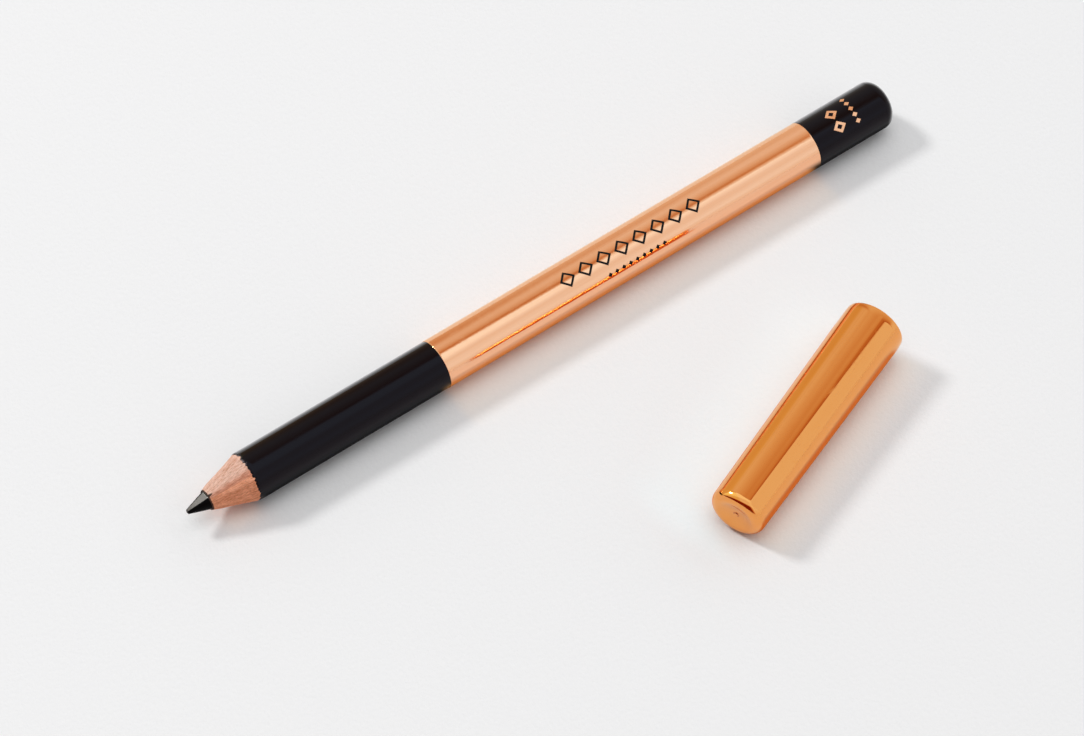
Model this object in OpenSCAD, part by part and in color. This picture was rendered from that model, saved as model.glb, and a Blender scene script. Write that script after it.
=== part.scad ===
// Wooden eyeliner pencil, sharpened, lying on its barrel with its cap taken off beside it.
// The blank is a pigment core between two glued wood slats under a lacquer coat. It is trimmed round
// at the rear and sharpened at the front, so core, slats and lacquer share those two cuts.
// A foil band is wrapped round the middle and the rear end is dipped.
// Millimetres. The pencil points to -X, and the ground is z = 0.

/* [Barrel] */
// Diameter over the foil band and the dipped end
barrel_d = 7.8; // [6.5:0.1:11]
// Thickness of the foil band and of the dip beside it
foil_t = 0.05; // [0.03:0.01:0.12]
// Thickness of the lacquer coat on the wood
lacquer_t = 0.1; // [0.06:0.01:0.25]
// Diameter of the pigment core
core_d = 3; // [1.8:0.1:4.5]
// Turn of the glue plane between the slats, from upright towards the front
glue_turn = 33; // [0:1:90]

/* [Lengths along the pencil] */
// From the point to the front edge of the foil band
foil_start = 43.3; // [25:0.1:60]
// Length of the foil band
foil_len = 68.4; // [30:0.1:110]
// Length of the dipped end, from the foil to the crown
dip_len = 15.1; // [6:0.1:30]

/* [Point] */
// Included angle of the sharpened cone
sharpen_angle = 38; // [20:1:50]
// Diameter of the small flat worn on the point
point_d = 0.7; // [0.2:0.1:1.4]

/* [Rear end] */
// Radius of the rounded shoulder
shoulder_r = 1.8; // [1:0.1:2.4]
// Radius of the crowned end face
crown_r = 9; // [6:0.5:20]
// Thickness of the dip over the trimmed end
dip_end_t = 0.35; // [0.2:0.05:0.6]

/* [Cap] */
// Overall length of the cap
cap_len = 39.3; // [30:0.1:60]
// Wall of the cap
cap_wall = 0.7; // [0.5:0.05:1.2]
// Draft of the outside, from the mouth to the closed end
cap_draft = 0.72; // [0.2:0.02:1.2]
// Radius of the edge round the closed end
cap_edge_r = 1.3; // [0.5:0.1:2]
// Thickness of the closed end, from the rim of its recess to the cavity
cap_end_t = 1.4; // [1:0.1:2.5]
// Diameter of the dished recess in the closed end
recess_d = 5.5; // [3:0.1:6.2]
// Depth of the recess in the middle
recess_depth = 0.45; // [0.25:0.05:0.6]
// Depth of the sharp step round the recess
recess_step = 0.1; // [0.05:0.01:0.2]
// Diameter of the gate mark in the recess
gate_d = 0.8; // [0.4:0.1:1.6]
// Height of the gate mark
gate_h = 0.15; // [0.05:0.05:0.3]

/* [Cap grip] */
// Play between the plain mouth land and the barrel, on the radius
land_play = 0.2; // [0.1:0.05:0.4]
// Depth of the plain mouth land
land_len = 5; // [3:0.5:8]
// Play between the barrel and the wall at the deepest point that the barrel reaches, on the radius
wall_play = 0.06; // [0.03:0.01:0.1]
// Bite of the ribs into the barrel, on the radius
rib_bite = 0.02; // [0:0.01:0.05]
// Number of grip ribs
rib_count = 6; // [3:1:8]
// Width of a grip rib
rib_w = 0.6; // [0.4:0.1:1]
// Length of a grip rib
rib_len = 16; // [8:0.5:20]
// Room left between the point and the closed end when the cap is on
point_room = 1.5; // [0.5:0.1:4]

/* [Cap on the table] */
// Distance of the closed end behind the point of the pencil, along the pencil
cap_back = 62.2; // [20:0.1:90]
// Distance of the closed end from the axis of the pencil
cap_aside = 46.7; // [30:0.1:80]
// Turn of the cap against the pencil
cap_turn = 20.9; // [0:0.1:40]

/* [Hidden] */
$fn = 96;

// Barrel radii from the outside in
barrel_r = barrel_d / 2;
coat_r = barrel_r - foil_t;
wood_r = coat_r - lacquer_t;
core_r = core_d / 2;
// Lengths from the point
foil_end = foil_start + foil_len;
pencil_len = foil_end + dip_len;
// The sharpened cone
point_r = point_d / 2;
cone_slope = tan(sharpen_angle / 2);
cone_len = (coat_r - point_r) / cone_slope;

// Cap radii. The lip is a full round, and the outside is drafted from its shoulder to the closed end.
land_r = barrel_r + land_play;
mouth_r = land_r + cap_wall;
lip_r = cap_wall / 2;
draft_slope = tan(cap_draft);
edge_centre_r = cap_outer_r(cap_edge_r) - cap_edge_r / cos(cap_draft);
// Cavity of the cap, in heights above the closed end. The barrel stops where its cone begins.
barrel_stop = cap_end_t + point_room + cone_len;
stop_r = barrel_r + wall_play;
floor_r = cap_outer_r(cap_end_t) - cap_wall;
land_start = cap_len - land_len;
rib_top = land_start - 1;
rib_r = barrel_r - rib_bite;
// Dish inside the recess step, as a sphere
dish_half = (recess_d - recess_step) / 2;
dish_sag = recess_depth - recess_step;
dish_r = (dish_half * dish_half + dish_sag * dish_sag) / (2 * dish_sag);

// Middle of the box round the pencil and the cap, which is the origin
cap_sweep = sin(cap_turn) * cos(cap_draft);
cap_side = -cap_aside + cap_edge_r * (cap_sweep - 1) - edge_centre_r * sqrt(1 - cap_sweep * cap_sweep);
middle_x = pencil_len / 2;
middle_y = (barrel_r + cap_side) / 2;

// Outside radius of the cap at height h above its closed end
function cap_outer_r(h) = mouth_r - draft_slope * (cap_len - lip_r - h);

// Half section of a round bar: radius r, end at height l, shoulder radius s, end face of radius c
module bar_section(r, l, s, c) {
    crown_z = l - c;
    shoulder_z = crown_z + sqrt(pow(c - s, 2) - pow(r - s, 2));
    square([r, shoulder_z]);
    translate([r - s, shoulder_z]) intersection() {
        circle(s);
        translate([s - r, -s]) square([r, 2 * s]);
    }
    // Sector of the crown between the axis and the point where it meets the shoulder
    reach = 2 * c / (shoulder_z - crown_z);
    intersection() {
        translate([0, crown_z]) circle(c);
        polygon([[0, crown_z], [(r - s) * reach, crown_z + 2 * c], [0, crown_z + 2 * c]]);
    }
}

// Lays what is drawn along +Z on the ground, pointing to -X, at the pencil's place
module lay_pencil() {
    translate([-middle_x, -middle_y, barrel_r]) rotate([0, 90, 0]) children();
}

// The blank as trimmed round at the rear and sharpened at the front
module sharpened_blank() {
    intersection() {
        rotate_extrude() bar_section(coat_r, pencil_len - dip_end_t, shoulder_r - dip_end_t, crown_r - dip_end_t);
        cylinder(h = pencil_len, r1 = point_r, r2 = point_r + pencil_len * cone_slope);
    }
}

module slat() {
    difference() {
        intersection() {
            sharpened_blank();
            cylinder(h = pencil_len, r = wood_r);
            translate([-barrel_r, 0, 0]) cube([barrel_d, barrel_r, pencil_len]);
        }
        translate([0, 0, -1]) cylinder(h = pencil_len + 2, r = core_r);
    }
}

module core() {
    color("#1b1b1d") lay_pencil() intersection() {
        sharpened_blank();
        cylinder(h = pencil_len, r = core_r);
    }
}

module slat_front() {
    color("#d9a184") lay_pencil() rotate([0, 0, 180 + glue_turn]) slat();
}

module slat_back() {
    color("#e0ac92") lay_pencil() rotate([0, 0, glue_turn]) slat();
}

module lacquer_coat() {
    color("#18181a") lay_pencil() difference() {
        sharpened_blank();
        translate([0, 0, -1]) cylinder(h = pencil_len + 2, r = wood_r);
    }
}

module foil_band() {
    color("#e0a27c") lay_pencil() translate([0, 0, foil_start]) difference() {
        cylinder(h = foil_len, r = barrel_r);
        translate([0, 0, -1]) cylinder(h = foil_len + 2, r = coat_r);
    }
}

module end_dip() {
    color("#161618") lay_pencil() difference() {
        rotate_extrude() bar_section(barrel_r, pencil_len, shoulder_r, crown_r);
        translate([0, 0, -1]) cylinder(h = foil_end + 1, r = barrel_d);
        rotate_extrude() bar_section(coat_r, pencil_len - dip_end_t, shoulder_r - dip_end_t, crown_r - dip_end_t);
    }
}

// Half section of the cap, closed end at height 0
module cap_section() {
    difference() {
        union() {
            polygon([
                [0, 0],
                [edge_centre_r, 0],
                [edge_centre_r + cap_edge_r * cos(cap_draft), cap_edge_r - cap_edge_r * sin(cap_draft)],
                [mouth_r, cap_len - lip_r],
                [0, cap_len - lip_r]
            ]);
            translate([edge_centre_r, cap_edge_r]) circle(cap_edge_r);
        }
        // Cavity: plain land, then tapering to where the barrel stops, then round the sharpened cone
        polygon([
            [0, cap_end_t],
            [floor_r, cap_end_t],
            [stop_r, barrel_stop],
            [land_r, land_start],
            [land_r, cap_len],
            [0, cap_len]
        ]);
        // Recess: a low sloping step, then a dish
        polygon([
            [0, -1],
            [recess_d / 2, -1],
            [recess_d / 2, 0],
            [dish_half, recess_step],
            [0, recess_step]
        ]);
        intersection() {
            translate([0, recess_depth - dish_r]) circle(dish_r);
            square([dish_half, recess_depth]);
        }
    }
    translate([land_r + lip_r, cap_len - lip_r]) circle(lip_r);
}

// Grip rib rising out of the wall behind the mouth land, with a slope where the barrel meets it
module grip_rib() {
    foot_r = land_r + cap_wall / 4;
    rise = foot_r - rib_r;
    rotate([90, 0, 0]) translate([0, 0, -rib_w / 2]) linear_extrude(rib_w) polygon([
        [foot_r, rib_top - rib_len],
        [rib_r, rib_top - rib_len],
        [rib_r, rib_top - 2 * rise],
        [foot_r, rib_top]
    ]);
}

module cap() {
    color("#d9883f")
    translate([cap_back - middle_x, -cap_aside - middle_y, 0]) rotate([0, 0, cap_turn])
    translate([0, 0, cap_outer_r(0) * cos(cap_draft)]) rotate([0, 90 - cap_draft, 0]) {
        rotate_extrude() cap_section();
        for (i = [0 : rib_count - 1]) rotate([0, 0, i * 360 / rib_count]) grip_rib();
        translate([0, 0, recess_depth - gate_h]) cylinder(h = gate_h + 0.1, d1 = gate_d * 0.8, d2 = gate_d);
    }
}

core();
slat_front();
slat_back();
lacquer_coat();
foil_band();
end_dip();
cap();
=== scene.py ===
import math

import bmesh
import bpy
import numpy as np
from mathutils import Euler, Matrix, Vector


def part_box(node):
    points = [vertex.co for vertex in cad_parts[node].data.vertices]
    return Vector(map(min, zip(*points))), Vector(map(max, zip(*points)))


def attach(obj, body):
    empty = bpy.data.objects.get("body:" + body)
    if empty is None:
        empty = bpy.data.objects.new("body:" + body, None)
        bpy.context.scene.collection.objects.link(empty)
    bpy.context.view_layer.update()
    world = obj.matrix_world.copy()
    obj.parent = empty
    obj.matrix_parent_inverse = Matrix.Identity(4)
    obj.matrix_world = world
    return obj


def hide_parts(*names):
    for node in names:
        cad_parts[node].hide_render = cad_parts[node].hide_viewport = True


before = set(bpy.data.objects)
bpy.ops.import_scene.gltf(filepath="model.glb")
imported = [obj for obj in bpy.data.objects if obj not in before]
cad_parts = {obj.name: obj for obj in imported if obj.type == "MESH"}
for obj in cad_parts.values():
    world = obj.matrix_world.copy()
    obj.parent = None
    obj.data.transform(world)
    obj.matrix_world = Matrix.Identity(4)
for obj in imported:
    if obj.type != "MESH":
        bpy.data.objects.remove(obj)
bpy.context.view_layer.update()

scene = bpy.context.scene
toMetres, toMillimetres = 0.001, 1000

foilLow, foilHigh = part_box("foil_band")
coreLow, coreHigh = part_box("core")
lacquerLow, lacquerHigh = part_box("lacquer_coat")
dipLow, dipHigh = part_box("end_dip")

# The pencil as packed. Lengths run from the point, radii from the axis.
pencil = {
    "tip": Vector((coreLow.x, (foilLow.y + foilHigh.y) / 2, (foilLow.z + foilHigh.z) / 2)),
    "turn": (0, 0, 0),
    "barrelR": (foilHigh.z - foilLow.z) / 2 * toMillimetres,
    "coatR": (lacquerHigh.z - lacquerLow.z) / 2 * toMillimetres,
    "woodR": 3.75,
    "coreR": (coreHigh.z - coreLow.z) / 2 * toMillimetres,
    "length": (dipHigh.x - coreLow.x) * toMillimetres,
    "foilStart": (foilLow.x - coreLow.x) * toMillimetres,
    "foilEnd": (foilHigh.x - coreLow.x) * toMillimetres,
    "glueTurn": 33,
    "shoulder": 1.8,
    "crown": 9,
    "dipEnd": 0.35,
}
# The cap lies on its mouth edge and its closed end, so its axis rises towards the mouth by the draft of its wall.
capDraft = 0.72
capLay = {"tip": Vector((-0.0012, -0.023468, 0.00431)), "turn": (0, -capDraft, 20.9)}


# Meshes

def layMatrix(lay):
    turn = Euler([math.radians(angle) for angle in lay["turn"]])
    return Matrix.Translation(lay["tip"]) @ turn.to_matrix().to_4x4()


def roundAngles(count):
    return np.arange(count) * 2 * math.pi / count


def ring(x, radius, angles):
    # angles run from the top of the piece towards the side away from the camera
    along = np.broadcast_to(np.asarray(x, float), angles.shape)
    return np.stack([along, radius * np.sin(angles), radius * np.cos(angles)], axis=1)


def axisPoint(x):
    return ring(x, 0, np.zeros(1))


def shellFaces(rings, closed):
    # rings have the same number of points, and the first or last may be a single point
    starts = np.cumsum([0] + [len(r) for r in rings])
    pairs = [(i, i + 1) for i in range(len(rings) - 1)] + ([(len(rings) - 1, 0)] if closed else [])
    faces = []
    for a, b in pairs:
        count = max(len(rings[a]), len(rings[b]))
        now, after = np.arange(count), (np.arange(count) + 1) % count
        if len(rings[a]) == 1:
            corners = [starts[a] + 0 * now, starts[b] + now, starts[b] + after]
        elif len(rings[b]) == 1:
            corners = [starts[a] + now, starts[b] + 0 * now, starts[a] + after]
        else:
            corners = [starts[a] + now, starts[b] + now, starts[b] + after, starts[a] + after]
        faces += np.stack(corners, axis=1).tolist()
    return np.concatenate(rings), faces


def makePiece(name, parts, lay, material, nodes=(), sharpAngle=40):
    # parts is a list of closed shells, each (points, faces)
    allPoints, allFaces, offset = [], [], 0
    for points, faces in parts:
        allPoints.append(points)
        allFaces += [[corner + offset for corner in face] for face in faces]
        offset += len(points)
    place = np.array(layMatrix(lay))
    points = np.concatenate(allPoints) * toMetres @ place[:3, :3].T + place[:3, 3]
    mesh = bpy.data.meshes.new(name)
    mesh.from_pydata(points.tolist(), [], allFaces)
    work = bmesh.new()
    work.from_mesh(mesh)
    bmesh.ops.recalc_face_normals(work, faces=work.faces)
    work.to_mesh(mesh)
    work.free()
    mesh.validate()
    mesh.shade_smooth()
    mesh.set_sharp_from_angle(angle=math.radians(sharpAngle))
    piece = bpy.data.objects.new(name, mesh)
    scene.collection.objects.link(piece)
    mesh.materials.append(material)
    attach(piece, "root")
    if nodes:
        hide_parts(*nodes)
    print("piece", name, len(mesh.polygons), "faces")
    return piece


def arc(centreX, centreR, radius, fromAngle, toAngle, steps):
    # angles in degrees from the axis, so that 90 points straight out
    turns = np.radians(np.linspace(fromAngle, toAngle, steps + 1))
    return [(centreX + radius * math.cos(t), centreR + radius * math.sin(t)) for t in turns]


def roundedEnd(radius, length, shoulder, crown, steps):
    # path over the shoulder and the crowned end face, down to the axis
    crownX = length - crown
    shoulderX = crownX + math.sqrt((crown - shoulder) ** 2 - (radius - shoulder) ** 2)
    meet = math.degrees(math.asin((radius - shoulder) / (crown - shoulder)))
    over = arc(shoulderX, radius - shoulder, shoulder, 90, meet, steps)
    return over + arc(crownX, 0, crown, meet, 0, steps // 2)[1:]


def trimmedEnd(clear=0.0):
    # rear end of the blank, under the dip
    under = pencil["dipEnd"]
    return roundedEnd(pencil["coatR"] + clear, pencil["length"] - under + clear, pencil["shoulder"] - under,
                      pencil["crown"] - under, 20)


def stations(start, end, step):
    return list(np.linspace(start, end, max(2, int(round((end - start) / step)) + 1)))


# Shader helpers

def addNode(tree, kind, inputs=None, **settings):
    node = tree.nodes.new(kind)
    for key, value in settings.items():
        setattr(node, key, value)
    for key, value in (inputs or {}).items():
        if isinstance(value, bpy.types.NodeSocket):
            tree.links.new(value, node.inputs[key])
        else:
            node.inputs[key].default_value = value
    return node


def calc(tree, operation, *values, clamp=False):
    return addNode(tree, "ShaderNodeMath", dict(enumerate(values)), operation=operation, use_clamp=clamp).outputs[0]


def product(tree, first, *others):
    for value in others:
        first = calc(tree, "MULTIPLY", first, value)
    return first


def distance(tree, first, second):
    return calc(tree, "SQRT", calc(tree, "ADD", product(tree, first, first), product(tree, second, second)))


def span(tree, value, low, high, toLow=0.0, toHigh=1.0, smooth=True):
    kind = "SMOOTHSTEP" if smooth else "LINEAR"
    inputs = {"Value": value, "From Min": low, "From Max": high, "To Min": toLow, "To Max": toHigh}
    return addNode(tree, "ShaderNodeMapRange", inputs, interpolation_type=kind, clamp=True).outputs[0]


def blendColor(tree, share, first, second, mode="MIX"):
    node = addNode(tree, "ShaderNodeMix", {0: share, 6: first, 7: second}, data_type="RGBA", blend_type=mode)
    return node.outputs[2]


def rampColor(tree, value, stops):
    node = addNode(tree, "ShaderNodeValToRGB", {0: value})
    ramp = node.color_ramp
    for n, (position, color) in enumerate(stops):
        stop = ramp.elements[n] if n < 2 else ramp.elements.new(position)
        stop.position = position
        stop.color = (*color, 1)
    return node.outputs[0]


def noise(tree, place, scale, detail=2.0, roughness=0.5, distortion=0.0):
    inputs = {"Vector": place, "Scale": scale, "Detail": detail, "Roughness": roughness, "Distortion": distortion}
    return addNode(tree, "ShaderNodeTexNoise", inputs, noise_dimensions="3D").outputs[0]


def scaled(tree, place, factors):
    inputs = {0: place, 1: factors}
    return addNode(tree, "ShaderNodeVectorMath", inputs, operation="MULTIPLY").outputs[0]


def placeOn(tree, lay):
    # millimetres along the piece (x) and across it (y, z)
    coordinate = addNode(tree, "ShaderNodeTexCoord").outputs["Object"]
    inputs = {"Vector": coordinate, "Location": lay["tip"], "Scale": (toMetres,) * 3,
              "Rotation": [math.radians(angle) for angle in lay["turn"]]}
    return addNode(tree, "ShaderNodeMapping", inputs, vector_type="TEXTURE").outputs[0]


def newGroup(name, inputs, outputs):
    group = bpy.data.node_groups.new(name, "ShaderNodeTree")
    for label, kind, value in inputs:
        socket = group.interface.new_socket(label, in_out="INPUT", socket_type="NodeSocket" + kind)
        if value is not None:
            socket.default_value = value
    for label, kind in outputs:
        group.interface.new_socket(label, in_out="OUTPUT", socket_type="NodeSocket" + kind)
    return group, group.nodes.new("NodeGroupInput").outputs, group.nodes.new("NodeGroupOutput").inputs


def useGroup(tree, group, **inputs):
    node = tree.nodes.new("ShaderNodeGroup")
    node.node_tree = group
    for key, value in inputs.items():
        if isinstance(value, bpy.types.NodeSocket):
            tree.links.new(value, node.inputs[key])
        else:
            node.inputs[key].default_value = value
    return node.outputs


def makeStreaks():
    # long soft lines that run along the piece
    group, ins, outs = newGroup(
        "lengthwiseStreaks",
        [("Place", "Vector", None), ("Width", "Float", 0.2), ("Stretch", "Float", 40.0), ("Contrast", "Float", 2.0)],
        [("Mask", "Float"), ("Height", "Float")])
    x, y, z = addNode(group, "ShaderNodeSeparateXYZ", {0: ins["Place"]}).outputs
    shorter = calc(group, "DIVIDE", x, ins["Stretch"])
    flat = addNode(group, "ShaderNodeCombineXYZ", {0: shorter, 1: y, 2: z}).outputs[0]
    scale = calc(group, "DIVIDE", 1.0, ins["Width"])
    grain = noise(group, flat, scale, 3, 0.6)
    centred = calc(group, "SUBTRACT", grain, 0.5)
    spread = calc(group, "MULTIPLY_ADD", centred, ins["Contrast"], 0.5, clamp=True)
    group.links.new(spread, outs["Mask"])
    group.links.new(centred, outs["Height"])
    return group


def makeHairlines():
    # few fine scratches from handling, broken up along their length
    group, ins, outs = newGroup(
        "hairlineScratches",
        [("Place", "Vector", None), ("Spacing", "Float", 1.5), ("Fineness", "Float", 0.02), ("Amount", "Float", 0.5)],
        [("Mask", "Float")])
    total = None
    for turn, offset in ((0.35, 0.0), (-0.6, 31.0), (1.2, 57.0)):
        moved = addNode(group, "ShaderNodeMapping", {"Vector": ins["Place"], "Rotation": (turn, turn * 0.7, turn),
                                                     "Location": (offset, offset, 0), "Scale": (0.06, 1, 1)}).outputs[0]
        lines = noise(group, moved, calc(group, "DIVIDE", 1.0, ins["Spacing"]), 1, 0.4)
        near = calc(group, "ABSOLUTE", calc(group, "SUBTRACT", lines, 0.5))
        line = calc(group, "SUBTRACT", 1.0, calc(group, "DIVIDE", near, ins["Fineness"]), clamp=True)
        patches = span(group, noise(group, ins["Place"], 0.35, 2), 0.5, 0.62)
        part = product(group, line, patches)
        total = part if total is None else calc(group, "MAXIMUM", total, part)
    group.links.new(product(group, total, ins["Amount"]), outs["Mask"])
    return group


def makeHandling():
    # soft patches where fingers have dulled the gloss
    group, ins, outs = newGroup(
        "handlingMarks", [("Place", "Vector", None), ("Size", "Float", 8.0)], [("Mask", "Float")])
    broad = noise(group, ins["Place"], calc(group, "DIVIDE", 1.0, ins["Size"]), 4, 0.55, 0.4)
    fine = noise(group, ins["Place"], calc(group, "DIVIDE", 14.0, ins["Size"]), 3, 0.6)
    mask = product(group, span(group, broad, 0.42, 0.68), span(group, fine, 0.3, 0.7))
    group.links.new(mask, outs["Mask"])
    return group


streaks, hairlines, handling = makeStreaks(), makeHairlines(), makeHandling()


def newMaterial(name, **plain):
    material = bpy.data.materials.new(name)
    material.use_nodes = True
    tree = material.node_tree
    shader = tree.nodes["Principled BSDF"]
    for key, value in plain.items():
        shader.inputs[key].default_value = value
    return material, tree, shader


def addBump(tree, shader, height):
    # height in millimetres
    bump = addNode(tree, "ShaderNodeBump", {"Height": height, "Distance": toMetres, "Strength": 1.0})
    tree.links.new(bump.outputs[0], shader.inputs["Normal"])


def weighted(tree, *pairs):
    # sum of value times weight
    total = None
    for value, weight in pairs:
        part = product(tree, value, weight)
        total = part if total is None else calc(tree, "ADD", total, part)
    return total


# Rose-gold transfer foil and the prints made with it

foilFinish = {"color": (0.975, 0.51, 0.290), "deep": (0.945, 0.42, 0.205), "edge": (1.0, 0.93, 0.72), "topcoat": 0.5,
              "roughness": 0.06, "streakWidth": 0.20, "streakHeight": 0.0030, "peelSize": 0.62, "peelHeight": 0.0052}


def makeFoil(name, finish, roughness):
    # tinted metal under a clear topcoat
    material, tree, shader = newMaterial(name, **{"Metallic": 1.0, "Specular Tint": (*finish["edge"], 1),
                                                  "Coat Weight": finish["topcoat"],
                                                  "Coat Roughness": finish["roughness"]})
    place = placeOn(tree, pencil)
    lines = useGroup(tree, streaks, Place=place, Width=finish["streakWidth"], Stretch=60.0, Contrast=2.6)
    broad = useGroup(tree, streaks, Place=place, Width=0.9, Stretch=25.0, Contrast=2.2)
    marks = useGroup(tree, handling, Place=place, Size=9.0)
    scratches = useGroup(tree, hairlines, Place=place, Spacing=1.3, Fineness=0.012, Amount=0.7)
    tone = product(tree, lines["Mask"], calc(tree, "MULTIPLY_ADD", broad["Mask"], 0.5, 0.2), 0.7)
    color = blendColor(tree, tone, (*finish["color"], 1), (*finish["deep"], 1))
    tree.links.new(color, shader.inputs["Base Color"])
    gloss = weighted(tree, (lines["Mask"], 0.035), (marks["Mask"], 0.06), (scratches["Mask"], 0.2))
    tree.links.new(calc(tree, "ADD", gloss, roughness), shader.inputs["Roughness"])
    peel = calc(tree, "SUBTRACT", noise(tree, scaled(tree, place, (0.7, 1, 1)), 1 / finish["peelSize"], 2, 0.5), 0.5)
    height = weighted(tree, (lines["Height"], finish["streakHeight"]), (peel, finish["peelHeight"]),
                      (scratches["Mask"], -0.0008))
    addBump(tree, shader, height)
    return material


# Black lacquer, dip, core and ink

blackFinish = {
    "lacquer": {"color": (0.0005, 0.0007, 0.0022), "tint": (0.94, 0.75, 0.82), "roughness": 0.10, "shine": 0.18,
                "wave": 0.0008, "patch": 0.03, "coat": "rim", "coatRoughness": 0.10},
    "dip": {"color": (0.0005, 0.0007, 0.0022), "tint": (0.94, 0.75, 0.82), "roughness": 0.08, "shine": 0.18,
            "wave": 0.0006, "patch": 0.03, "coat": "rim", "coatRoughness": 0.10},
    "core": {"color": (0.0016, 0.0013, 0.0013), "tint": (1.0, 0.95, 0.95), "roughness": 0.30, "shine": 0.04,
             "wave": 0.003, "patch": 0.05, "coat": "facet", "coatRoughness": 0.25},
    "ink": {"color": (0.0030, 0.0024, 0.0022), "tint": (0.9, 0.95, 1.0), "roughness": 0.4, "shine": 0.15,
            "wave": 0.002, "patch": 0.05, "coat": "", "coatRoughness": 0.1},
}
coreShape = {"slope": math.tan(math.radians(17.6)), "tipR": 0.35, "facetTurn": 8, "facetHalf": 29}


def makeBlack(name, finish):
    material, tree, shader = newMaterial(name, **{"Specular IOR Level": finish["shine"],
                                                  "Specular Tint": (*finish["tint"], 1),
                                                  "Coat Roughness": finish["coatRoughness"]})
    place = placeOn(tree, pencil)
    if finish["coat"] == "rim":
        # the polish shows most where the surface turns away
        facing = addNode(tree, "ShaderNodeLayerWeight", {"Blend": 0.5}).outputs["Facing"]
        tree.links.new(span(tree, facing, 0.44, 0.72), shader.inputs["Coat Weight"])
    if finish["coat"] == "facet":
        # the last stroke of the cutter left its flat burnished
        x, y, z = addNode(tree, "ShaderNodeSeparateXYZ", {0: place}).outputs
        turn, half = math.radians(coreShape["facetTurn"]), math.radians(coreShape["facetHalf"])
        away = calc(tree, "ABSOLUTE", calc(tree, "SUBTRACT", calc(tree, "ARCTAN2", y, z), turn))
        flat = product(tree, span(tree, away, half + 0.04, half - 0.06), span(tree, x, 3.8, 3.1))
        tree.links.new(product(tree, flat, span(tree, x, 0.2, 1.8, 0.6, 1.0)), shader.inputs["Coat Weight"])
    lines = useGroup(tree, streaks, Place=place, Width=0.35, Stretch=30.0, Contrast=2.0)
    marks = useGroup(tree, handling, Place=place, Size=6.0)
    scratches = useGroup(tree, hairlines, Place=place, Spacing=1.6, Fineness=0.014, Amount=0.6)
    lighter = tuple(c * 1.8 for c in finish["color"])
    share = weighted(tree, (lines["Mask"], 0.5), (scratches["Mask"], 0.5))
    color = blendColor(tree, share, (*finish["color"], 1), (*lighter, 1))
    # painted warm sheen: the burnished flat also gets a lighter brown colour, which warms its shine
    if finish["coat"] == "facet":
        color = blendColor(tree, flat, color, (0.028, 0.013, 0.009, 1))
    tree.links.new(color, shader.inputs["Base Color"])
    gloss = weighted(tree, (marks["Mask"], finish["patch"]), (lines["Mask"], 0.04), (scratches["Mask"], 0.15))
    tree.links.new(calc(tree, "ADD", gloss, finish["roughness"]), shader.inputs["Roughness"])
    grain = calc(tree, "SUBTRACT", noise(tree, place, 5.5, 3, 0.6), 0.5)
    height = weighted(tree, (lines["Height"], finish["wave"]), (grain, 0.0009), (scratches["Mask"], -0.0006))
    addBump(tree, shader, height)
    return material


# Cedar of the two slats

woodFinish = {
    "back": {"light": (0.90, 0.60, 0.48), "mid": (0.80, 0.45, 0.33), "dark": (0.62, 0.29, 0.18), "seed": 0.0,
             "shadingTint": (0.86, 0.56, 0.44), "shadingFrom": -2, "shadingTo": -36},
    # the front slat, the lower side towards the camera, has deeper tones: partly the two slats' own difference, partly
    # painted shade of that side
    "front": {"light": (0.88, 0.37, 0.215), "mid": (0.76, 0.26, 0.125), "dark": (0.54, 0.15, 0.055), "seed": 40.0,
              "shadingTint": (1.22, 1.38, 1.5), "shadingFrom": -52, "shadingTo": -33},
    "poreSize": 0.065, "fibreSize": 0.085, "fibreHeight": 0.022,
}


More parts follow.
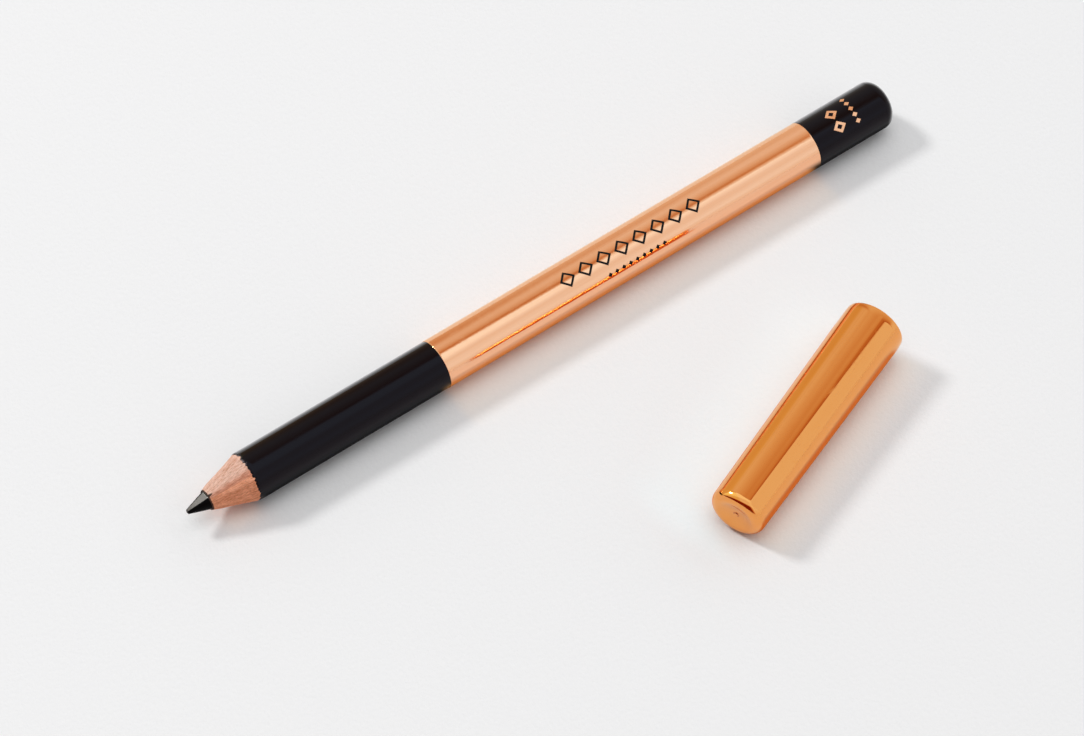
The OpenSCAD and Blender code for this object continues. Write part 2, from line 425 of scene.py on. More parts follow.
def makeWood(name, tones):
    material, tree, shader = newMaterial(name, **{"Specular IOR Level": 0.22})
    place = placeOn(tree, pencil)
    x, y, z = addNode(tree, "ShaderNodeSeparateXYZ", {0: place}).outputs
    # the grain lines run down the cut, so they're laid out round the axis and partly through the wood
    squeeze = calc(tree, "DIVIDE", 2.7, calc(tree, "POWER", distance(tree, y, z), 0.8))
    laidOut = addNode(tree, "ShaderNodeCombineXYZ", {0: x, 1: product(tree, y, squeeze),
                                                     2: product(tree, z, squeeze)}).outputs[0]
    offset = addNode(tree, "ShaderNodeVectorMath", {0: laidOut, 1: (tones["seed"],) * 3}, operation="ADD").outputs[0]
    wavy = noise(tree, scaled(tree, offset, (0.25, 0.5, 0.5)), 1.0, 2, 0.5, 0.5)
    fibres = useGroup(tree, streaks, Place=offset, Width=woodFinish["fibreSize"], Stretch=14.0, Contrast=3.4)
    rings = useGroup(tree, streaks, Place=offset, Width=0.6, Stretch=22.0, Contrast=3.0)
    pores = useGroup(tree, streaks, Place=offset, Width=woodFinish["poreSize"], Stretch=7.0, Contrast=6.0)
    fluff = noise(tree, scaled(tree, offset, (1.2, 5, 5)), 1.9, 3, 0.65)
    value = weighted(tree, (fibres["Mask"], 0.50), (rings["Mask"], 0.26), (wavy, 0.12), (fluff, 0.2))
    color = rampColor(tree, value, [(0.26, tones["dark"]), (0.46, tones["mid"]), (0.64, tones["light"]),
                                    (0.88, tuple(min(1, c * 1.12) for c in tones["light"]))])
    pits = span(tree, pores["Mask"], 0.22, 0.02)
    color = blendColor(tree, product(tree, pits, 0.45), color, (*(c * 0.6 for c in tones["dark"]), 1))
    # painted shade by angle round the axis: the back slat turns darker and warmer as it comes down to the glue line,
    # and the front slat is lighter just below it, so the painted shade runs on across the seam
    angle = calc(tree, "ARCTAN2", y, z)
    shadingBlend = span(tree, angle, math.radians(tones["shadingFrom"]), math.radians(tones["shadingTo"]))
    color = blendColor(tree, shadingBlend, color, blendColor(tree, 1.0, color, (*tones["shadingTint"], 1), "MULTIPLY"))
    # pigment dragged over the wood beside the core, mostly where the cutter left the cut
    smear = noise(tree, scaled(tree, place, (1.2, 3, 3)), 1.3, 3, 0.6)
    atExit = span(tree, calc(tree, "ABSOLUTE", calc(tree, "ADD", angle, 0.27)), 0.16, 0.0)
    reach = calc(tree, "ADD", 3.42, weighted(tree, (atExit, 0.55), (smear, 0.22)))
    soiled = span(tree, calc(tree, "SUBTRACT", reach, x), -0.05, 0.06)
    color = blendColor(tree, product(tree, soiled, 0.93), color, (0.012, 0.009, 0.008, 1))
    tree.links.new(color, shader.inputs["Base Color"])
    tree.links.new(span(tree, fluff, 0.2, 0.8, 0.62, 0.88, False), shader.inputs["Roughness"])
    height = weighted(tree, (fibres["Height"], woodFinish["fibreHeight"]), (pits, -0.010), (fluff, 0.004))
    addBump(tree, shader, height)
    return material


# Metallised cap

capFinish = {"color": (0.90, 0.36, 0.086), "deep": (0.855, 0.285, 0.05), "inside": (0.40, 0.15, 0.05),
             "gate": (0.60, 0.17, 0.05), "edge": (1.0, 0.93, 0.76), "topcoat": 0.5, "roughness": 0.035,
             "sinkSize": 7.0, "sinkHeight": 0.010}


def makeCapGold(name, finish):
    material, tree, shader = newMaterial(name, **{"Specular Tint": (*finish["edge"], 1),
                                                  "Coat Weight": finish["topcoat"],
                                                  "Coat Roughness": finish["roughness"]})
    place = placeOn(tree, capLay)
    x, y, z = addNode(tree, "ShaderNodeSeparateXYZ", {0: place}).outputs
    radius = distance(tree, y, z)
    cavity = product(tree, span(tree, radius, 4.16, 4.08), span(tree, x, 0.9, 1.2))
    deeper = product(tree, cavity, span(tree, x, 39.2, 30.0))
    marks = useGroup(tree, handling, Place=place, Size=9.0)
    scratches = useGroup(tree, hairlines, Place=place, Spacing=1.8, Fineness=0.010, Amount=0.8)
    flow = useGroup(tree, streaks, Place=place, Width=1.6, Stretch=8.0, Contrast=1.6)
    tone = weighted(tree, (flow["Mask"], 0.22), (marks["Mask"], 0.12))
    color = blendColor(tree, tone, (*finish["color"], 1), (*finish["deep"], 1))
    # inside the cap, from near the mouth inwards, the colour turns dark amber
    color = blendColor(tree, deeper, color, (*finish["inside"], 1))
    # flow line round the gate mark
    gateLine = product(tree, span(tree, radius, 0.26, 0.36), span(tree, radius, 0.54, 0.44), span(tree, x, 0.7, 0.5))
    color = blendColor(tree, gateLine, color, (*finish["gate"], 1))
    tree.links.new(color, shader.inputs["Base Color"])
    # there the surface is also less metallic
    tree.links.new(calc(tree, "SUBTRACT", 1.0, product(tree, deeper, 0.55)), shader.inputs["Metallic"])
    rounded = product(tree, span(tree, x, 1.6, 1.1), span(tree, radius, 2.9, 3.2))
    gloss = weighted(tree, (marks["Mask"], 0.045), (scratches["Mask"], 0.22), (cavity, 0.25), (rounded, 0.06))
    tree.links.new(calc(tree, "ADD", gloss, finish["roughness"]), shader.inputs["Roughness"])
    sinks = calc(tree, "SUBTRACT", noise(tree, scaled(tree, place, (0.5, 1, 1)), 1 / finish["sinkSize"], 1, 0.4), 0.5)
    peel = calc(tree, "SUBTRACT", noise(tree, place, 1.4, 1, 0.4), 0.5)
    height = weighted(tree, (sinks, finish["sinkHeight"]), (peel, 0.0006), (scratches["Mask"], -0.0006))
    addBump(tree, shader, height)
    return material


foilGold = makeFoil("foilGold", foilFinish, foilFinish["roughness"])
printGold = makeFoil("printGold", foilFinish, 0.2)
lacquerBlack = makeBlack("lacquerBlack", blackFinish["lacquer"])
dipBlack = makeBlack("dipBlack", blackFinish["dip"])
coreBlack = makeBlack("coreBlack", blackFinish["core"])
inkBlack = makeBlack("inkBlack", blackFinish["ink"])
woodBack = makeWood("woodBack", woodFinish["back"])
woodFront = makeWood("woodFront", woodFinish["front"])
capGold = makeCapGold("capGold", capFinish)
print("materials made")


# The sharpened end. Slats and lacquer share one cut surface, so its unevenness is worked out once.

sharpening = {"coneStart": 3.34, "slope": math.tan(math.radians(19)), "bulge": 0.11, "bulgeAt": 4.5,
              "bulgeLength": 1.5, "fibreRelief": 0.011, "raggedness": 0.105, "chipAngle": 19.5, "chipDepth": 0.11}
cutRng = np.random.default_rng(41)
fibreWaves = [(cutRng.uniform(6, 26), cutRng.uniform(0, 2 * math.pi), cutRng.uniform(-0.8, 0.8),
               cutRng.uniform(0, 2 * math.pi)) for _ in range(26)]
edgeWaves = [(k, cutRng.normal() / k ** 0.12, cutRng.uniform(0, 2 * math.pi)) for k in range(2, 46)]
cutMarks = [(int(cutRng.integers(2, 7)), cutRng.normal() * 0.012, cutRng.uniform(0, 2 * math.pi)) for _ in range(5)]


def fibreHeight(x, radius, angles):
    y, z = radius * np.sin(angles), radius * np.cos(angles)
    total = sum(np.cos(wave * (math.cos(turn) * y + math.sin(turn) * z) + drift * x + phase)
                for wave, turn, drift, phase in fibreWaves)
    return total / math.sqrt(len(fibreWaves)) * sharpening["fibreRelief"]


def cutRadius(x, angles):
    cut = sharpening
    radius = pencil["coreR"] + (x - cut["coneStart"]) * cut["slope"]
    radius = radius + cut["bulge"] * np.exp(-((x - cut["bulgeAt"]) / cut["bulgeLength"]) ** 2)
    fade = np.clip((x - cut["coneStart"]) / 0.5, 0, 1) * np.clip((10.4 - x) / 0.8, 0, 1)
    uneven = sum(size * np.cos(k * angles + phase + 0.35 * x) for k, size, phase in cutMarks)
    return radius + fade * (fibreHeight(x, radius, angles) + uneven)


def raggedEdge(angles):
    # how far the lacquer has chipped back from the cut
    rough = sum(size * np.cos(k * angles + phase) for k, size, phase in edgeWaves)
    rough = rough / np.std(rough)
    degrees = np.degrees((angles + math.pi) % (2 * math.pi) - math.pi)
    away = degrees - sharpening["chipAngle"]
    chip = np.clip((away + 2.0) / 1.5, 0, 1) * np.clip((15 - away) / 13, 0, 1)
    return sharpening["raggedness"] * np.clip(rough + 0.9, 0, 2.6) + sharpening["chipDepth"] * chip


def coatCut(radius, angles):
    # where the cut comes out through the lacquer at this radius
    return sharpening["coneStart"] + (radius - pencil["coreR"]) / sharpening["slope"] + raggedEdge(angles)


def makeSlat(name, firstAngle, material, node):
    around = np.radians(np.linspace(firstAngle + 0.12, firstAngle + 179.88, 181))
    inner = pencil["coreR"] + 0.004
    outerWood = pencil["woodR"] - 0.006
    lengths = stations(3.32, 10.9, 0.05) + [11.2, 12, 14] + stations(18, 118, 10)
    rear = [p for p in trimmedEnd() if p[1] < outerWood]
    layers = []
    for x in lengths:
        outer = np.clip(cutRadius(x, around), inner + 0.012, outerWood)
        layers.append((x, outer))
    for x, radius in rear:
        if radius > inner + 0.2:
            layers.append((x, np.full(around.shape, radius)))
    count = len(around)
    points = np.concatenate([np.concatenate([ring(x, outer, around), ring(x, inner, around)])
                             for x, outer in layers])
    faces = []
    step = 2 * count
    for i in range(len(layers) - 1):
        a, b = i * step, (i + 1) * step
        for j in range(count - 1):
            faces.append([a + j, b + j, b + j + 1, a + j + 1])
            faces.append([a + count + j + 1, b + count + j + 1, b + count + j, a + count + j])
        faces.append([a + count, b + count, b, a])
        faces.append([a + count - 1, b + count - 1, b + step - 1, a + step - 1])
    last = (len(layers) - 1) * step
    for j in range(count - 1):
        faces.append([j, j + 1, count + j + 1, count + j])
        faces.append([last + j + 1, last + j, last + count + j, last + count + j + 1])
    return makePiece(name, [(points, faces)], pencil, material, [node], sharpAngle=50)


makeSlat("slatBack", -pencil["glueTurn"], woodBack, "slat_back")
makeSlat("slatFront", 180 - pencil["glueTurn"], woodFront, "slat_front")


def coreRadius(x, angles):
    shape = coreShape
    radius = shape["tipR"] + shape["slope"] * x
    # one flat left by the last stroke of the cutter
    away = (angles - math.radians(shape["facetTurn"]) + math.pi) % (2 * math.pi) - math.pi
    flat = math.cos(math.radians(shape["facetHalf"])) / np.maximum(np.cos(away), 0.2)
    cut = np.minimum(1, flat)
    grow = min(1, max(0, (x - 3.3) / 0.3))
    return np.minimum(radius * (cut * (1 - grow) + grow), pencil["coreR"])


def makeCore():
    angles = roundAngles(240)
    rings = [axisPoint(0), ring(0.0, 0.16, angles), ring(0.012, 0.27, angles), ring(0.04, 0.325, angles)]
    for x in stations(0.09, 3.9, 0.06) + [4.4, 5, 6, 8] + stations(12, 124, 8):
        rings.append(ring(x, coreRadius(x, angles), angles))
    end = pencil["length"] - pencil["dipEnd"]
    rings += [ring(end - 0.16, pencil["coreR"], angles), ring(end - 0.02, 0.8, angles), axisPoint(end)]
    makePiece("core", [shellFaces(rings, False)], pencil, coreBlack, ["core"], sharpAngle=14)


makeCore()


def makeLacquer():
    angles = roundAngles(512)
    coat, wood = pencil["coatR"], pencil["woodR"]
    front = coatCut(wood, angles)
    # how far each ring stands back from the cut, and how high above the wood
    chipped = [(0, 0), (0.10, 0.035), (0.2, 0.075), (0.235, 0.09), (0.29, coat - wood), (0.8, coat - wood)]
    rings = [ring(front + back, wood + rise, angles) for back, rise in chipped]
    rings += [ring(x, coat, angles) for x in [12.2, 13, 15] + stations(20, 120, 5) + [122, 123.6]]
    rear = [p for p in trimmedEnd() if p[1] > wood + 0.01]
    rings += [ring(x, r, angles) for x, r in rear]
    rings += [ring(x, wood, angles) for x in [rear[-1][0] + 0.01] + stations(120, 15, 15)]
    makePiece("lacquerCoat", [shellFaces(rings, True)], pencil, lacquerBlack, ["lacquer_coat"])


makeLacquer()


foilShape = {"edgeRise": 0.007, "edgeWidth": 0.12, "innerGap": 0.003}


def makeFoilBand():
    angles = roundAngles(256)
    shape = foilShape
    inner, outer = pencil["coatR"] + shape["innerGap"], pencil["barrelR"]
    flat, width = outer - shape["edgeRise"], shape["edgeWidth"]
    start, end = pencil["foilStart"], pencil["foilEnd"]
    lead = [(0.0, inner + 0.012), (0.008, outer - 0.016), (0.022, outer - 0.005), (0.045, outer),
            (0.07, outer - 0.001), (width, flat), (width + 0.05, flat)]
    path = [(start + x, r) for x, r in lead]
    path += [(x, flat) for x in stations(start + 1, end - 1, 2)]
    path += [(end - x, r) for x, r in reversed(lead)]
    path += [(x, inner) for x in stations(end, start, 6)]
    rings = [ring(x, r, angles) for x, r in path]
    makePiece("foilBand", [shellFaces(rings, True)], pencil, foilGold, ["foil_band"], sharpAngle=50)


makeFoilBand()


def makeDip():
    angles = roundAngles(256)
    outer, inner = pencil["barrelR"], pencil["coatR"] + 0.003
    start = pencil["foilEnd"]
    path = [(start + 0.004, inner), (start + 0.004, outer - 0.022), (start + 0.03, outer - 0.008),
            (start + 0.09, outer), (start + 0.2, outer)]
    over = roundedEnd(outer, pencil["length"], pencil["shoulder"], pencil["crown"], 40)
    path += [(x, outer) for x in stations(start + 1, over[0][0] - 0.3, 1.5)] + [(over[0][0] - 0.04, outer)]
    path += over[:-1]
    rings = [ring(x, r, angles) for x, r in path] + [axisPoint(over[-1][0])]
    within = trimmedEnd(0.002)
    rings += [axisPoint(within[-1][0])] + [ring(x, r, angles) for x, r in reversed(within[:-1])]
    outside, inside = rings[:-len(within)], rings[-len(within):]
    points, faces = shellFaces(outside, False)
    innerPoints, innerFaces = shellFaces(inside, False)
    offset, count = len(points), len(angles)
    faces += [[c + offset for c in f] for f in innerFaces]
    # close the open front edge between the inside and the outside
    rim = offset + len(innerPoints) - count
    faces += [[rim + j, j, (j + 1) % count, rim + (j + 1) % count] for j in range(count)]
    shell = (np.concatenate([points, innerPoints]), faces)
    makePiece("endDip", [shell], pencil, dipBlack, ["end_dip"])


makeDip()


# Cap: a thin moulding with a drafted wall, a rolled mouth, grip ribs inside and a shallow recess in its closed end

capShape = {"length": 39.3, "landR": 4.1, "mouthR": 4.792, "edgeR": 1.3, "recessR": 2.75, "recessStep": 0.06,
            "recessDepth": 0.45, "gateR": 0.38, "gateTop": 0.32, "rollStart": 37.9, "rollIn": 0.07, "lipR": 0.3,
            "draft": math.radians(capDraft), "lipStart": 0.35, "ribs": 6, "ribHalf": 4.4, "ribFlank": 1.6, "ribR": 3.88,
            "ribFrom": 17.25, "ribTo": 33.3, "floor": 1.4,
            "cavity": [(1.4, 3.628), (13.065, 3.96), (34.3, 4.1), (39.3, 4.1)]}


def capWall(h):
    shape = capShape
    return shape["mouthR"] - math.tan(shape["draft"]) * (shape["length"] - shape["lipStart"] - h)


def cavityRadius(h):
    return float(np.interp(h, *zip(*capShape["cavity"])))


def makeCap():
    shape = capShape
    angles = roundAngles(288)
    edge = shape["edgeR"]
    edgeCentre = capWall(edge) - edge / math.cos(shape["draft"])
    gate = shape["gateR"] * (1 + 0.08 * np.cos(3 * angles + 0.6) + 0.05 * np.cos(7 * angles))
    depth, recess, step, top = shape["recessDepth"], shape["recessR"], shape["recessStep"], shape["gateTop"]
    rings = [axisPoint(top + 0.03), ring(top + 0.01, gate * 0.45, angles), ring(top, gate * 0.78, angles),
             ring(top + 0.02, gate * 0.9, angles), ring(depth - 0.035, gate, angles),
             ring(depth - 0.008, gate + 0.05, angles)]
    # the dish, its low step and the soft edge round it
    dishHalf, dishSag = recess - 0.2, depth - step
    dishR = (dishHalf ** 2 + dishSag ** 2) / (2 * dishSag)
    rings += [ring(depth - dishR + math.sqrt(dishR ** 2 - r ** 2), r, angles) for r in stations(0.5, dishHalf, 0.12)]
    floorRings = [(step - 0.006, recess - 0.16), (0.006, recess + 0.02), (0.0, recess + 0.06),
                  (0.0, edgeCentre - 0.03)]
    rings += [ring(x, r, angles) for x, r in floorRings]
    rings += [ring(edge - edge * math.sin(t), edgeCentre + edge * math.cos(t), angles)
              for t in np.linspace(math.pi / 2, shape["draft"], 40)]
    rings += [ring(h, capWall(h), angles) for h in [edge + 0.06] + stations(1.6, shape["rollStart"], 1.2)]
    lipCentre = shape["length"] - shape["lipR"]
    lipOuter = capWall(lipCentre) - shape["rollIn"]
    for t in np.linspace(0.03, 1, 20):
        h = shape["rollStart"] + t * (lipCentre + 0.04 - shape["rollStart"])
        rings.append(ring(h, capWall(h) - shape["rollIn"] * t ** 2.2, angles))
    lipHalf = (lipOuter - shape["landR"]) / 2
    for t in np.radians(np.linspace(74, -90, 16)):
        h = lipCentre + shape["lipR"] * math.cos(t)
        rings.append(ring(h, shape["landR"] + lipHalf + lipHalf * math.sin(t), angles))
    away = np.degrees((angles * shape["ribs"] + math.pi) % (2 * math.pi) - math.pi) / shape["ribs"]
    crest = 1 - np.clip((np.abs(away) - shape["ribHalf"]) / shape["ribFlank"], 0, 1)
    for h in ([38.6, 36.5, 34.3, 33.6] + stations(33.3, 32.7, 0.2) + stations(32, 18, 2) + [17.45, 17.3, 17.22, 16]
              + stations(14, 2, 2) + [1.75, 1.55]):
        wall = cavityRadius(h)
        rise = np.clip((shape["ribTo"] - h) / 0.55, 0, 1) * (1 if h > shape["ribFrom"] else 0)
        rings.append(ring(h, wall - (wall - shape["ribR"]) * crest * rise, angles))
    rings += [ring(1.44, 3.55, angles), ring(shape["floor"], 3.42, angles), axisPoint(shape["floor"])]
    makePiece("cap", [shellFaces(rings, False)], capLay, capGold, ["cap"], sharpAngle=45)


makeCap()


# Prints: a plain border of lozenges, as thin as a film of ink

printShape = {
    "film": 0.006,
    "gold": [{"from": 66.3, "pitch": 3.3, "count": 8, "turn": -16, "long": 2.7, "high": 2.75, "stroke": 0.34},
             {"from": 72.6, "pitch": 1.25, "count": 9, "turn": -57, "long": 0.78, "high": 0.78, "stroke": 0}],
    "rear": [{"from": 116.5, "turns": (2, -33), "long": 2.3, "high": 2.0, "stroke": 0.42},
             {"from": 119.7, "turns": (22, 6, -10, -26, -42), "long": 0.95, "high": 0.8, "stroke": 0}],
}


def lozengeLoop(centreX, centreTurn, halfLong, halfHigh, radius, corners=32):
    side = np.linspace(0, 4, corners, endpoint=False)
    step, share = np.floor(side), side % 1
    points = np.array([(1, 0), (0, 1), (-1, 0), (0, -1), (1, 0)], float)
    flat = points[step.astype(int)] * (1 - share[:, None]) + points[step.astype(int) + 1] * share[:, None]
    turn = math.radians(centreTurn) + flat[:, 1] * halfHigh / radius
    return np.stack([centreX + flat[:, 0] * halfLong, radius * np.sin(turn), radius * np.cos(turn)], axis=1)


def lozenge(centreX, centreTurn, item, low, high):
    halfLong, halfHigh, stroke = item["long"] / 2, item["high"] / 2, item["stroke"]
    mid = (low + high) / 2

    def loop(size, radius):
        flat = lozengeLoop(centreX, centreTurn, halfLong * size, halfHigh * size, mid)
        return flat * [1, radius / mid, radius / mid]

    if not stroke:
        sizes = [0.33, 0.66, 1]
        middle = math.radians(centreTurn)
        poles = [np.array([[centreX, r * math.sin(middle), r * math.cos(middle)]]) for r in (high, low)]
        rings = [poles[0]] + [loop(s, high) for s in sizes] + [loop(s, low) for s in sizes[::-1]] + [poles[1]]
        return shellFaces(rings, False)
    inner = 1 - stroke * math.hypot(halfLong, halfHigh) / (halfLong * halfHigh)
    middle = (1 + inner) / 2
    rings = [loop(1, high), loop(middle, high), loop(inner, high), loop(inner, low), loop(middle, low), loop(1, low)]
    return shellFaces(rings, True)


def makePrints():
    film = printShape["film"]
    low = pencil["barrelR"] - foilShape["edgeRise"] - 0.002
    shells = [lozenge(row["from"] + n * row["pitch"], row["turn"], row, low, low + film)
              for row in printShape["gold"] for n in range(row["count"])]
    makePiece("goldPrint", shells, pencil, inkBlack)
    low = pencil["barrelR"] - 0.002
    shells = [lozenge(row["from"], turn, row, low, low + film) for row in printShape["rear"] for turn in row["turns"]]
    makePiece("rearPrint", shells, pencil, printGold)


makePrints()


# Table, studio light and camera

studio = {
    "floorColor": (0.884, 0.884, 0.888), "floorHalf": 3.0,
    "keyPlace": (-0.781, 1.507, 1.540), "keySize": 0.42, "keyPower": 20.5, "keyColor": (1.0, 0.995, 0.985),
    "fillTop": 2.2, "fillTopFocus": 9.0, "fillFar": 0.66, "fillRight": 0.90, "fillColor": (1.0, 1.0, 1.005),
    "farWay": (0.59, 0.8074, 0.0), "rightWay": (0.8074, -0.59, 0.0), "backdrop": (0.868, 0.868, 0.872),
}
view = {"place": (-0.21205, -0.26575, 0.50090), "aim": (-0.006345, 0.015826, 0.0), "lens": 138.165}


# The paper close to each piece. Black, foil and cap are seen by the gloss alone: deep contact shade beside black,
# a warm glow beside gold. The others hold for every ray.
paperTones = {"black": (0.09, 0.09, 0.09), "foil": (0.98, 0.63, 0.30), "cap": (0.92, 0.42, 0.15),
              "bounce": (1.08, 1.04, 0.995), "bounceCap": (1.09, 1.07, 1.02), "litSide": (1.03, 1.095, 1.11),
              "underPoint": (1.08, 1.10, 1.10)}


def makeFloor():
    material, tree, shader = newMaterial("tablePaper", **{"Specular IOR Level": 0.06, "Roughness": 0.8})
    place = addNode(tree, "ShaderNodeTexCoord").outputs["Object"]
    grain = noise(tree, place, 1500.0, 3, 0.6)
    cloud = noise(tree, place, 9.0, 2, 0.5)
    share = weighted(tree, (grain, 0.09), (cloud, 0.03))
    darker = tuple(c * 0.86 for c in studio["floorColor"])
    color = blendColor(tree, share, (*studio["floorColor"], 1), (*darker, 1))

    def toned(color, share, tone):
        return blendColor(tree, share, color, blendColor(tree, 1.0, color, (*paperTones[tone], 1), "MULTIPLY"))

    along, across, _ = addNode(tree, "ShaderNodeSeparateXYZ", {0: placeOn(tree, pencil)}).outputs
    capAlong, capAcross, _ = addNode(tree, "ShaderNodeSeparateXYZ", {0: placeOn(tree, capLay)}).outputs
    beside, besideCap = calc(tree, "ABSOLUTE", across), calc(tree, "ABSOLUTE", capAcross)
    start, end = pencil["foilStart"], pencil["foilEnd"]
    onFoil = product(tree, span(tree, along, start - 1, start + 1), span(tree, along, end + 1, end - 1))
    onBarrel = product(tree, span(tree, along, 9, 12), span(tree, along, 129, 126))
    onCap = product(tree, span(tree, capAlong, -0.5, 1.5), span(tree, capAlong, 41, 39))
    # light thrown into the shadow side by the gold and the wood
    onWood = product(tree, span(tree, along, 3, 6), span(tree, along, 11, 8))
    thrown = calc(tree, "MAXIMUM", product(tree, span(tree, across, -12, -6), onFoil),
                  product(tree, span(tree, across, -6, -3), onWood))
    color = toned(color, product(tree, thrown, span(tree, across, 0, -3)), "bounce")
    thrownCap = product(tree, span(tree, capAcross, -11, -5.5), span(tree, capAcross, 0, -3), onCap)
    color = toned(color, thrownCap, "bounceCap")
    # painted light: the paper beside the lit side of the cap and ahead of its closed end is painted lighter and cooler,
    # cancelling the warm glow and the shade the cap throws there
    ahead = calc(tree, "MAXIMUM", product(tree, capAlong, -3.0), 0.0)
    litSide = span(tree, calc(tree, "MULTIPLY_ADD", ahead, 0.33, capAcross), 0, 5)
    fromCap = distance(tree, besideCap, ahead)
    lit = product(tree, litSide, span(tree, capAlong, 46, 33), span(tree, fromCap, 20, 6))
    color = toned(color, lit, "litSide")
    # painted light: the paper right under the point is painted a little lighter, taking out part of the soft shadow the
    # point casts there
    below = product(tree, span(tree, along, -2.2, 1.2), span(tree, along, 9, 5), span(tree, beside, 4.2, 0.8))
    color = toned(color, below, "underPoint")
    # painted contact shade and warm glow on the paper, seen only in the pieces' reflections
    gloss = addNode(tree, "ShaderNodeLightPath").outputs["Is Glossy Ray"]
    near = product(tree, span(tree, beside, 8.4, 4.2), onBarrel, gloss)
    nearCap = product(tree, span(tree, besideCap, 12.5, 6.5), onCap, gloss)
    tone = blendColor(tree, onFoil, (*paperTones["black"], 1), (*paperTones["foil"], 1))
    color = blendColor(tree, near, color, blendColor(tree, 1.0, color, tone, "MULTIPLY"))
    color = toned(color, nearCap, "cap")
    tree.links.new(color, shader.inputs["Base Color"])
    addBump(tree, shader, product(tree, grain, 0.055))
    half = studio["floorHalf"]
    mesh = bpy.data.meshes.new("floor")
    mesh.from_pydata([(-half, -half, 0), (half, -half, 0), (half, half, 0), (-half, half, 0)], [], [(0, 1, 2, 3)])
    floor = bpy.data.objects.new("floor", mesh)
    mesh.materials.append(material)
    scene.collection.objects.link(floor)


# What the gloss sees, as brightness over the tilt from straight overhead, in degrees: minus is the camera's side
studioTilt = [(-90, 0.84), (-68, 0.94), (-55, 1.05), (-43, 1.02), (-30, 0.95), (-20, 0.92), (-8, 0.90), (10, 0.6),
              (14, 0.26), (17, 0.29), (19.5, 0.39), (23, 0.50), (28, 0.59), (34, 0.69), (40, 0.76), (46, 0.82),
              (48.5, 0.82), (49.5, 0.71), (50.5, 0.80), (55, 0.81), (61, 0.78), (70, 0.74), (78, 0.74), (84, 0.77),
              (90, 0.85)]
# A bright panel overhead, and a dark stand beside the camera, both placed by tilt and by the share towards the right
studioPanel = {"normal": (0.648, 0.762, 0.0), "along": (0.762, -0.648, 0.0), "low": -22.0, "lowSoft": 14.0,
               "edge": [(-0.2, 30.0), (0.0, 20.6), (0.1, 16.4), (0.18, 12.9), (0.28, 10.4), (0.36, 7.9), (0.43, 6.0),
                        (0.5, 6.9), (0.57, 11.3), (0.66, 14.3)],
               "level": [(0.40, 1.29), (0.48, 1.25), (0.55, 1.13), (0.66, 0.95)]}
studioStand = {"places": (0.4638, -0.018333, 0.0000944), "width": (0.030, 0.060), "depth": 0.52}
# Red and blue against green: a share, and a power for what is dimmer or brighter than white
studioTint = {"red": 0.895, "redDim": 0.38, "redStrong": 0.6, "blue": 1.08, "blueDim": 1.7, "blueStrong": 1.1,
              "blueLeft": -0.36}


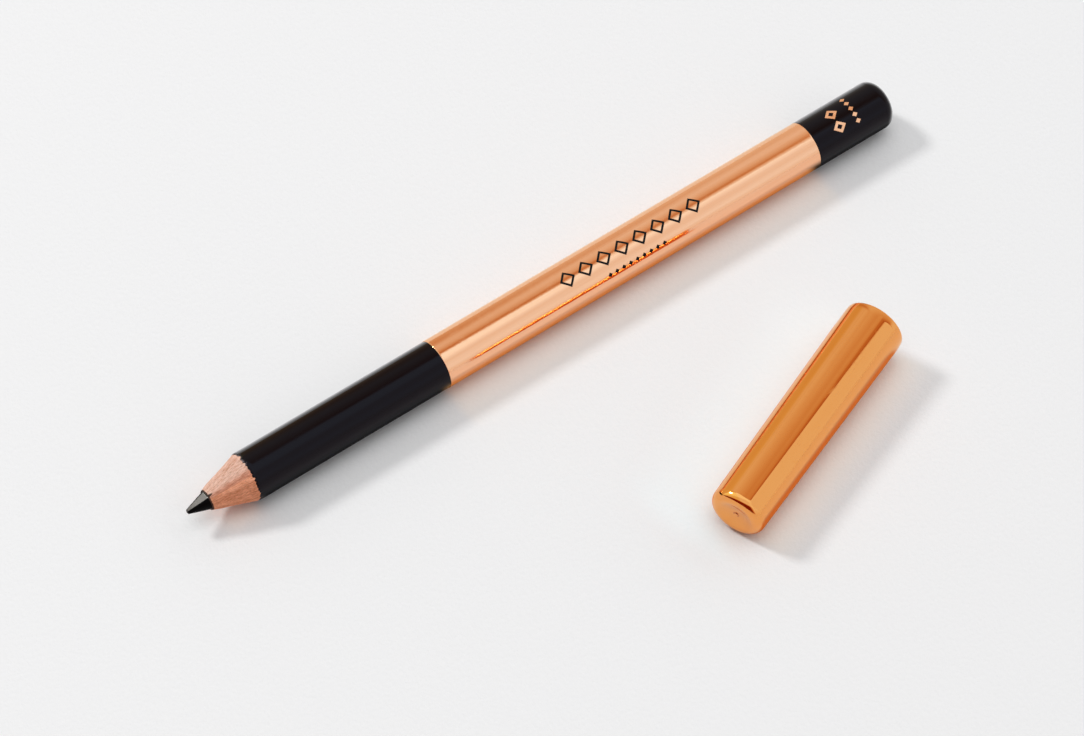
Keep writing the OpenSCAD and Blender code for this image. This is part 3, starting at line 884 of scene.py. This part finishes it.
def makeWorld():
    world = bpy.data.worlds.new("studio")
    scene.world = world
    world.use_nodes = True
    tree = world.node_tree
    tree.nodes.clear()

    def stepped(value, stops, low, high):
        share = span(tree, value, low, high, smooth=False)
        top = max(v for _, v in stops)
        curve = rampColor(tree, share, [((at - low) / (high - low), (v / top,) * 3) for at, v in stops])
        return product(tree, curve, top)

    ray = addNode(tree, "ShaderNodeTexCoord").outputs["Generated"]

    def toward(way):
        return addNode(tree, "ShaderNodeVectorMath", {0: ray, 1: way}, operation="DOT_PRODUCT").outputs["Value"]

    forward, along = toward(studioPanel["normal"]), toward(studioPanel["along"])
    up = addNode(tree, "ShaderNodeSeparateXYZ", {0: ray}).outputs[2]
    tilt = calc(tree, "DEGREES", calc(tree, "ARCTAN2", forward, calc(tree, "MAXIMUM", up, 0.0)))
    room = stepped(tilt, studioTilt, -90, 90)
    # a little more light beside the panel, and less on the left
    beside = product(tree, span(tree, along, 0.24, 0.44), span(tree, along, 0.57, 0.51), span(tree, tilt, 28, 20))
    room = calc(tree, "MULTIPLY_ADD", beside, 0.16, room)
    leftSide = span(tree, along, -0.36, -0.46)
    room = product(tree, room, calc(tree, "MULTIPLY_ADD", leftSide, -0.12, 1.0))
    # the room evens out far to the right
    room = calc(tree, "MULTIPLY_ADD", span(tree, along, 0.86, 0.97), calc(tree, "SUBTRACT", 0.93, room), room)
    # the stand's dark line through the room's far half
    first, second, third = studioStand["places"]
    line = calc(tree, "MULTIPLY_ADD", tilt, calc(tree, "MULTIPLY_ADD", tilt, third, second), first)
    away = calc(tree, "DIVIDE", calc(tree, "SUBTRACT", along, line), span(tree, tilt, 45, 65, *studioStand["width"]))
    dark = calc(tree, "DIVIDE", 1.0, calc(tree, "ADD", 1.0, product(tree, away, away)))
    dark = product(tree, dark, span(tree, tilt, 28, 62))
    room = product(tree, room, calc(tree, "SUBTRACT", 1.0, product(tree, dark, studioStand["depth"])))
    # overhead panel, with a crisp far edge
    edge = stepped(along, studioPanel["edge"], -0.25, 0.75)
    past = calc(tree, "SUBTRACT", tilt, edge)
    low = studioPanel["low"]
    inPanel = product(tree, span(tree, tilt, low, low + studioPanel["lowSoft"]), span(tree, past, 0.5, -0.9))
    level = stepped(along, studioPanel["level"], 0.3, 0.8)
    bright = calc(tree, "MULTIPLY_ADD", inPanel, calc(tree, "SUBTRACT", level, room), room)
    # thin dark gap along that edge on the right
    gap = product(tree, span(tree, past, 0.3, 0.7), span(tree, past, 2.2, 1.2), span(tree, along, 0.46, 0.54))
    bright = product(tree, bright, calc(tree, "SUBTRACT", 1.0, product(tree, gap, 0.5)))
    # unlit part of the room, low on the camera's left
    unlit = product(tree, span(tree, along, 0.55, 0.15), span(tree, tilt, -44, -58))
    bright = calc(tree, "MULTIPLY_ADD", unlit, calc(tree, "SUBTRACT", 0.02, bright), bright)
    # the room is warmer where it is darker
    dim, strong = calc(tree, "MINIMUM", bright, 1.0), calc(tree, "MAXIMUM", bright, 1.0)
    blueShare = calc(tree, "MULTIPLY_ADD", leftSide, studioTint["blueLeft"], studioTint["blue"])
    red, blue = [product(tree, calc(tree, "POWER", dim, studioTint[channel + "Dim"]),
                         calc(tree, "POWER", strong, studioTint[channel + "Strong"]), share)
                 for channel, share in (("red", studioTint["red"]), ("blue", blueShare))]
    seen = addNode(tree, "ShaderNodeCombineColor", {0: red, 1: bright, 2: blue}).outputs[0]
    # light that falls on the table and on matt surfaces: most from overhead
    fromTop, fromFar, fromRight = [calc(tree, "MAXIMUM", share, 0.0)
                                   for share in (up, toward(studio["farWay"]), toward(studio["rightWay"]))]
    fromTop = calc(tree, "POWER", fromTop, studio["fillTopFocus"])
    spread = weighted(tree, (fromTop, studio["fillTop"]), (fromFar, studio["fillFar"]),
                      (fromRight, studio["fillRight"]))
    grey = addNode(tree, "ShaderNodeCombineColor", {0: spread, 1: spread, 2: spread}).outputs[0]
    fill = blendColor(tree, 1.0, grey, (*studio["fillColor"], 1), "MULTIPLY")
    path = addNode(tree, "ShaderNodeLightPath").outputs
    color = blendColor(tree, path["Is Glossy Ray"], fill, seen)
    color = blendColor(tree, path["Is Camera Ray"], color, (*studio["backdrop"], 1))
    background = addNode(tree, "ShaderNodeBackground", {0: color, 1: 1.0})
    output = addNode(tree, "ShaderNodeOutputWorld")
    tree.links.new(background.outputs[0], output.inputs[0])


def makeLights():
    key = bpy.data.lights.new("keyLight", "AREA")
    key.shape = "DISK"
    key.size = studio["keySize"]
    key.energy = studio["keyPower"]
    key.color = studio["keyColor"]
    lamp = bpy.data.objects.new("keyLight", key)
    lamp.location = studio["keyPlace"]
    lamp.rotation_euler = (-Vector(studio["keyPlace"])).to_track_quat("-Z", "Y").to_euler()
    scene.collection.objects.link(lamp)


def makeCamera():
    data = bpy.data.cameras.new("photoCamera")
    data.sensor_fit = "HORIZONTAL"
    data.sensor_width = 36
    data.lens = view["lens"]
    data.clip_start = 0.01
    camera = bpy.data.objects.new("photoCamera", data)
    camera.location = view["place"]
    camera.rotation_euler = (Vector(view["aim"]) - Vector(view["place"])).to_track_quat("-Z", "Y").to_euler()
    scene.collection.objects.link(camera)
    scene.camera = camera


makeFloor()
makeWorld()
makeLights()
makeCamera()
scene.view_settings.view_transform = "Standard"
print("stage, light and camera set")
